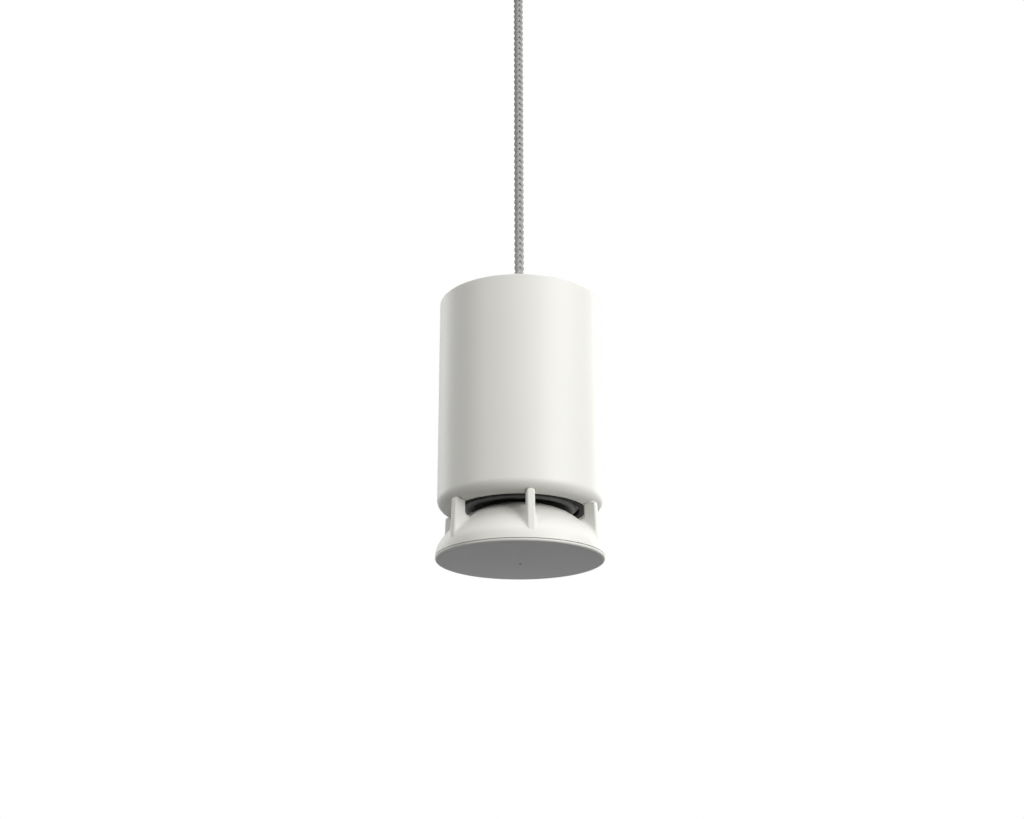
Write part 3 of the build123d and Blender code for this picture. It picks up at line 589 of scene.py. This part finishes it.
def turn_sectors(context, name, outline, steps):
    """Equal closed sectors, each of which is spun about the axis from one outline."""
    sectors = context.scene.speaker_driver.sectors
    span = 2 * math.pi / sectors
    first = draw_outline(f"{name}_01", outline)
    bpy.ops.mesh.edge_face_add()
    bpy.ops.mesh.spin(steps=steps, angle=span, center=(0, 0, 0), axis=(0, 0, 1))
    bpy.ops.mesh.select_all(action="SELECT")
    bpy.ops.mesh.remove_doubles(threshold=MERGE_DISTANCE)
    bpy.ops.mesh.normals_make_consistent(inside=False)
    bpy.ops.object.mode_set(mode="OBJECT")
    pick(first)
    bpy.ops.object.transform_apply(location=True, rotation=True, scale=True)
    bpy.ops.object.shade_smooth_by_angle(angle=SMOOTH_ANGLE)
    turned = [first]
    for i in range(1, sectors):
        copy = first.copy()
        copy.data = first.data.copy()
        copy.name = f"{name}_{i + 1:02d}"
        context.collection.objects.link(copy)
        copy.data.transform(Matrix.Rotation(span * i, 4, "Z"))
        turned.append(copy)
    return turned


def bend_inwards(piece):
    """Bakes a sector's place into its mesh."""
    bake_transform(piece)


class Draft:
    """Points, faces and UV corners of a mesh that is written point by point."""

    def __init__(self):
        self.points = []
        self.faces = []
        self.corners = []

    def add_face(self, indices, corners):
        self.faces.append(tuple(indices))
        self.corners.append(tuple(corners))

    def make(self, context, name, layer_name):
        """The smooth object that the points and faces describe."""
        mesh = bpy.data.meshes.new(name)
        mesh.from_pydata(self.points, [], self.faces)
        layer = mesh.uv_layers.new(name=layer_name)
        for polygon, corners in zip(mesh.polygons, self.corners):
            polygon.use_smooth = True
            for loop, corner in zip(polygon.loop_indices, corners):
                layer.data[loop].uv = corner
        piece = bpy.data.objects.new(name, mesh)
        context.collection.objects.link(piece)
        return piece


# Pieces


class SPEAKER_OT_camera(bpy.types.Operator):
    """Places the camera where the photograph was taken from"""

    bl_idname = "speaker.camera"
    bl_label = "Camera"

    sensor_width = 36.0

    def execute(self, context):
        studio = context.scene.speaker_studio
        deselect()
        bpy.ops.object.camera_add()
        camera = context.object
        camera.name = "Camera"
        camera.data.lens = studio.lens
        camera.data.sensor_width = self.sensor_width
        forward = Vector((math.sin(studio.yaw) * math.cos(studio.pitch),
                          math.cos(studio.yaw) * math.cos(studio.pitch), math.sin(studio.pitch)))
        level = Vector((math.cos(studio.yaw), -math.sin(studio.yaw), 0))
        upright = level.cross(forward)
        right = math.cos(studio.roll) * level + math.sin(studio.roll) * upright
        up = -math.sin(studio.roll) * level + math.cos(studio.roll) * upright
        turn = Matrix((right, up, -forward)).transposed().to_4x4()
        stand = Matrix.Translation((0, -studio.distance, HOUSING_TOP - studio.drop))
        camera.matrix_world = Matrix.Rotation(studio.azimuth, 4, "Z") @ stand @ turn
        context.scene.camera = camera
        return {"FINISHED"}


class SPEAKER_OT_stage(bpy.types.Operator):
    """Sets up the pale floor, the sky and the lamps"""

    bl_idname = "speaker.stage"
    bl_label = "Studio"

    floor_side = 60.0
    seen_floor = (0.95, 0.95, 0.95)
    glow_falloff = 3.0
    # Each lamp's setting, its degrees round from the camera and its degrees up
    lamps = {"Key": ("key_power", 45, 8), "Side": ("side_power", 68, 28), "Fill": ("fill_power", -50, 20),
             "Back": ("back_power", 140, 15), "Edge": ("edge_power", -130, 20)}

    def execute(self, context):
        studio = context.scene.speaker_studio
        deselect()
        bpy.ops.mesh.primitive_plane_add(size=self.floor_side, location=(0, 0, studio.floor_level))
        floor = context.object
        floor.name = "Floor"
        floor.data.materials.append(self.backdrop(studio))
        self.sky(context, studio)
        for name, (power, azimuth, elevation) in self.lamps.items():
            self.lamp(studio, name, azimuth, elevation, getattr(studio, power))
        context.scene.view_settings.view_transform = "Standard"
        return {"FINISHED"}

    def backdrop(self, studio):
        """A floor that shows white to the eye and in gloss, and still takes the speaker's shadow."""
        made = Finish("Floor paint", studio.floor_colour, 0.9)
        seen = seen_rays(made)
        made.set("Base Color", made.blend(seen, tuple(studio.floor_colour), self.seen_floor))
        return made.material

    def sky(self, context, studio):
        """White behind the speaker, and a soft glow overhead."""
        world = bpy.data.worlds.new("Sky")
        context.scene.world = world
        world.use_nodes = True
        made = Nodes(world.node_tree)
        white = (1.0, 1.0, 1.0, 1.0)
        height = made.part(made.node("ShaderNodeTexCoord", {}, {}, "Generated"), "Z")
        glow = made.maths("MAXIMUM", height, 0.0) ** self.glow_falloff * studio.sky
        given = made.node("ShaderNodeBackground", {}, {"Color": white, "Strength": glow})
        seen = made.node("ShaderNodeBackground", {}, {"Color": white, "Strength": 1.0})
        mix = made.node("ShaderNodeMixShader", {}, {0: seen_rays(made), 1: given, 2: seen})
        world.node_tree.links.new(mix.link, world.node_tree.nodes["World Output"].inputs["Surface"])

    def lamp(self, studio, name, azimuth, elevation, power):
        """A square soft lamp that faces the speaker, by its angles from the camera and the level."""
        centre = Vector((0, 0, (HOUSING_TOP + HOUSING_LOW.z) / 2))
        turn = math.radians(azimuth) + studio.azimuth
        rise = math.radians(elevation)
        out = Vector((math.sin(turn) * math.cos(rise), -math.cos(turn) * math.cos(rise), math.sin(rise)))
        deselect()
        bpy.ops.object.light_add(type="AREA", location=centre + out * studio.lamp_distance)
        lamp = bpy.context.object
        lamp.name = name
        lamp.data.size = studio.lamp_size
        lamp.data.energy = power
        lamp.rotation_euler = out.to_track_quat("Z", "Y").to_euler()


class SPEAKER_OT_cord(bpy.types.Operator):
    """Braids the cord's textile cover along its route"""

    bl_idname = "speaker.cord"
    bl_label = "Braided cord"

    section_points = 10
    filling_points = 24
    steps_per_float = 10
    # How far the highest yarns stand out of the cord's radius
    nap = 0.30 * MM

    def execute(self, context):
        cord = context.scene.speaker_cord
        line = self.centreline()
        top, foot = line[0], line[-1]
        length = (top - foot).length
        core = self.core_radius(cord)
        draft = Draft()
        for way in (1, -1):
            for i in range(cord.strands):
                start = cord.first_column + 2 * math.pi * i / cord.strands
                self.add_strand(draft, cord, foot, length, core, start, way)
        self.add_filling(draft, foot, length, core - cord.crimp)
        braid = draft.make(context, "cord_braid", "Strand")
        wear(braid, "cord_textile")
        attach(braid, "speaker")
        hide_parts("braided_cord")
        return {"FINISHED"}

    def centreline(self):
        """The route's own NURBS line, from the ceiling fitting down to the ferrule."""
        route = [(0, 0, CORD_HIGH.z), (0, 0, (CORD_HIGH.z + CORD_LOW.z) / 2), (0, 0, CORD_LOW.z)]
        curve = bpy.data.curves.new("cord_route", "CURVE")
        curve.dimensions = "3D"
        spline = curve.splines.new("NURBS")
        spline.points.add(len(route) - 1)
        for point, place in zip(spline.points, route):
            point.co = (*place, 1.0)
        spline.order_u = 3
        spline.use_endpoint_u = True
        holder = bpy.data.objects.new("cord_route", curve)
        points = [v.co.copy() for v in bpy.data.meshes.new_from_object(holder).vertices]
        bpy.data.objects.remove(holder)
        return points

    def core_radius(self, cord):
        """Where a strand's middle lies, so that its highest stretch stands proud of the cord by its nap."""
        return CORD_RADIUS + self.nap - cord.crimp - cord.strand_half_thickness

    def add_filling(self, draft, foot, length, radius):
        """The filling that shows between the strands, with a U of its own; the yarn finish paints it dark as
        painted shade between the strands.
        """
        ring = self.filling_points
        low = len(draft.points)
        high = low + ring
        for rise in (0.0, length):
            for j in range(ring):
                turn = 2 * math.pi * j / ring
                draft.points.append(foot + Vector((radius * math.cos(turn), radius * math.sin(turn), rise)))
        for j in range(ring):
            n = (j + 1) % ring
            draft.add_face((low + j, low + n, high + n, high + j), [(FILLING_U, 0.0)] * 4)
        draft.add_face(reversed(range(low, high)), [(FILLING_U, 0.0)] * ring)
        draft.add_face(range(high, high + ring), [(FILLING_U, 0.0)] * ring)

    def add_strand(self, draft, cord, foot, length, core, start, way):
        """One flat strand that runs over two others and under two."""
        ring = self.section_points
        steps = round(length / cord.lay_length * cord.strands * self.steps_per_float)
        first = len(draft.points)
        last = first + steps * ring
        for k in range(steps + 1):
            rise = length * k / steps
            angle = start + way * 2 * math.pi * rise / cord.lay_length
            self.add_section(draft, cord, foot + Vector((0, 0, rise)), core, angle, way)
        for k in range(steps):
            low, high = first + k * ring, first + (k + 1) * ring
            v0, v1 = k * length / steps / MM, (k + 1) * length / steps / MM
            for j in range(ring):
                n = (j + 1) % ring
                u0, u1 = j / ring, (j + 1) / ring
                corners = ((u0, v0), (u0, v1), (u1, v1), (u1, v0))
                draft.add_face((low + j, high + j, high + n, low + n), corners)
        draft.add_face(range(first, first + ring), [(0.0, 0.0)] * ring)
        draft.add_face(reversed(range(last, last + ring)), [(0.0, 0.0)] * ring)

    def add_section(self, draft, cord, middle, core, angle, way):
        """An oval ring of points across a strand, square to its run and bent to the cord's round."""
        slope = math.atan2(2 * math.pi * core, cord.lay_length)
        lift = -way * cord.crimp * math.cos(cord.strands / 2 * (angle - cord.first_column))
        out = Vector((math.cos(angle), math.sin(angle), 0))
        side = Vector((-math.sin(angle), math.cos(angle), 0))
        for j in range(self.section_points):
            t = 2 * math.pi * j / self.section_points
            wide = cord.strand_half_width * math.cos(t)
            thick = cord.strand_half_thickness * math.sin(t)
            swing = wide * math.cos(slope) / core
            lean = out * math.cos(swing) + side * math.sin(swing)
            drop = Vector((0, 0, -way * math.sin(slope) * wide))
            draft.points.append(middle + lean * (core + lift + thick) + drop)


class SPEAKER_OT_surround(bpy.types.Operator):
    """Turns the half-roll surround in sectors between the basket and the cone"""

    bl_idname = "speaker.surround"
    bl_label = "Surround"

    wall = 0.5 * MM
    glue_land = 1.2 * MM
    # Degrees from the level at which the roll's outside meets the flat edges
    foot_angle = 9.6
    roll_steps = 14
    sector_steps = 6

    def execute(self, context):
        flange = SURROUND_HIGH.z
        underside = flange - self.wall
        outer_edge = SURROUND_HIGH.x
        inner_edge = CONE_HIGH.x - self.glue_land
        roll_outer = flange - SURROUND_LOW.z
        roll_inner = roll_outer - self.wall
        middle = CONE_HIGH.x + roll_outer - self.wall / 2
        under = arc((middle, flange), roll_outer, 180 + self.foot_angle, 360 - self.foot_angle,
                    self.roll_steps)
        over = arc((middle, flange), roll_inner, 360, 180, self.roll_steps)
        outline = [(inner_edge, underside), *under, (outer_edge, underside), (outer_edge, flange),
                   *over, (inner_edge, flange), (inner_edge, underside)]
        for piece in turn_sectors(context, "surround_sector", outline, self.sector_steps):
            wear(piece, "surround_rubber")
            bend_inwards(piece)
            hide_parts("surround")
        return {"FINISHED"}


class SPEAKER_OT_spider(bpy.types.Operator):
    """Presses the corrugated cloth spider in sectors between the basket and the coil"""

    bl_idname = "speaker.spider"
    bl_label = "Spider"

    cloth = 0.6 * MM
    land = 2.2 * MM
    rolls = 3
    roll_steps = 36
    sector_steps = 4

    def execute(self, context):
        outer = SPIDER_HIGH.x
        inner = FORMER_HIGH.x
        level = (SPIDER_LOW.z + SPIDER_HIGH.z) / 2
        swing = (SPIDER_HIGH.z - SPIDER_LOW.z - self.cloth) / 2
        start, run = inner + self.land, outer - inner - 2 * self.land
        wave = [(start + run * i / self.roll_steps,
                 level + swing * math.sin(2 * math.pi * self.rolls * i / self.roll_steps))
                for i in range(self.roll_steps + 1)]
        line = [(inner, level), *wave, (outer, level)]
        half = self.cloth / 2
        outline = [(r, z - half) for r, z in line] + [(r, z + half) for r, z in reversed(line)]
        outline.append(outline[0])
        for piece in turn_sectors(context, "spider_sector", outline, self.sector_steps):
            wear(piece, "spider_cloth")
            bend_inwards(piece)
            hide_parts("spider")
        return {"FINISHED"}


class SPEAKER_OT_leads(bpy.types.Operator):
    """Splits the tinsel leads, which run from the basket's tag to the cone, into a piece each"""

    bl_idname = "speaker.leads"
    bl_label = "Tinsel leads"

    def execute(self, context):
        copy_solid(context, "tinsel_leads", "tinsel_lead")
        bpy.ops.mesh.separate(type="LOOSE")
        bpy.ops.object.mode_set(mode="OBJECT")
        leads = sorted(context.selected_objects, key=lambda lead: lead.bound_box[0][0])
        for name, lead in zip(("tinsel_lead_left", "tinsel_lead_right"), leads):
            lead.name = name
            wear(lead, "tinsel_wire")
            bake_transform(lead)
            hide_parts("tinsel_leads")
        return {"FINISHED"}


class SPEAKER_OT_wad(bpy.types.Operator):
    """Tears the fibre wad that damps the air behind the driver"""

    bl_idname = "speaker.wad"
    bl_label = "Fibre wad"

    fibre_step = 1.6 * MM
    lump_size = 9 * MM
    lump_detail = 4
    lump_height = 3.4 * MM
    unmoved_level = 0.8

    def execute(self, context):
        wad = copy_solid(context, "damping_wad", "damping_wad_fibre")
        bpy.ops.object.mode_set(mode="OBJECT")
        rough = wad.modifiers.new("Remesh", "REMESH")
        rough.mode = "VOXEL"
        rough.voxel_size = self.fibre_step
        lumps = bpy.data.textures.new("Fibre lumps", "CLOUDS")
        lumps.noise_scale = self.lump_size
        lumps.noise_depth = self.lump_detail
        push = wad.modifiers.new("Lumps", "DISPLACE")
        push.texture = lumps
        push.texture_coords = "LOCAL"
        push.strength = self.lump_height
        push.mid_level = self.unmoved_level
        for modifier in list(wad.modifiers):
            bpy.ops.object.modifier_apply(modifier=modifier.name)
        bpy.ops.object.shade_smooth()
        wear(wad, "wad_fibre")
        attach(wad, "speaker")
        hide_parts("damping_wad")
        return {"FINISHED"}


class SPEAKER_OT_finishes(bpy.types.Operator):
    """Gives every rigid piece of the frame its finish"""

    bl_idname = "speaker.finishes"
    bl_label = "Finishes"

    def execute(self, context):
        FINISHES.update(mix_finishes(context))
        for row in frame["record"]["subparts"]:
            wear(frame["nodes"][row["node"]], row["material_slot"])
        return {"FINISHED"}


class SPEAKER_PT_panel(bpy.types.Panel):
    """Lists the speaker's settings and steps"""

    bl_label = "Pendant Speaker"
    bl_idname = "SPEAKER_PT_panel"
    bl_space_type = "VIEW_3D"
    bl_region_type = "UI"
    bl_category = "Speaker"

    def draw(self, context):
        for group in SETTINGS:
            box = self.layout.box()
            values = getattr(context.scene, group)
            for name in values.__annotations__:
                box.prop(values, name)
        for step in STEPS:
            self.layout.operator(step.bl_idname)


SETTINGS = {
    "speaker_studio": StudioSettings,
    "speaker_cord": CordSettings,
    "speaker_body": BodySettings,
    "speaker_driver": DriverSettings,
}
STEPS = [SPEAKER_OT_camera, SPEAKER_OT_stage, SPEAKER_OT_finishes, SPEAKER_OT_cord, SPEAKER_OT_surround,
         SPEAKER_OT_spider, SPEAKER_OT_leads, SPEAKER_OT_wad]


def register():
    for name, group in SETTINGS.items():
        bpy.utils.register_class(group)
        setattr(bpy.types.Scene, name, bpy.props.PointerProperty(type=group))
    for step in STEPS:
        bpy.utils.register_class(step)
    bpy.utils.register_class(SPEAKER_PT_panel)


def unregister():
    bpy.utils.unregister_class(SPEAKER_PT_panel)
    for step in reversed(STEPS):
        bpy.utils.unregister_class(step)
    for name, group in SETTINGS.items():
        delattr(bpy.types.Scene, name)
        bpy.utils.unregister_class(group)


def main():
    register()
    bpy.ops.speaker.camera()
    bpy.ops.speaker.stage()
    bpy.ops.speaker.finishes()
    bpy.ops.speaker.cord()
    bpy.ops.speaker.surround()
    bpy.ops.speaker.spider()
    bpy.ops.speaker.leads()
    bpy.ops.speaker.wad()


if __name__ == "__main__":
    main()
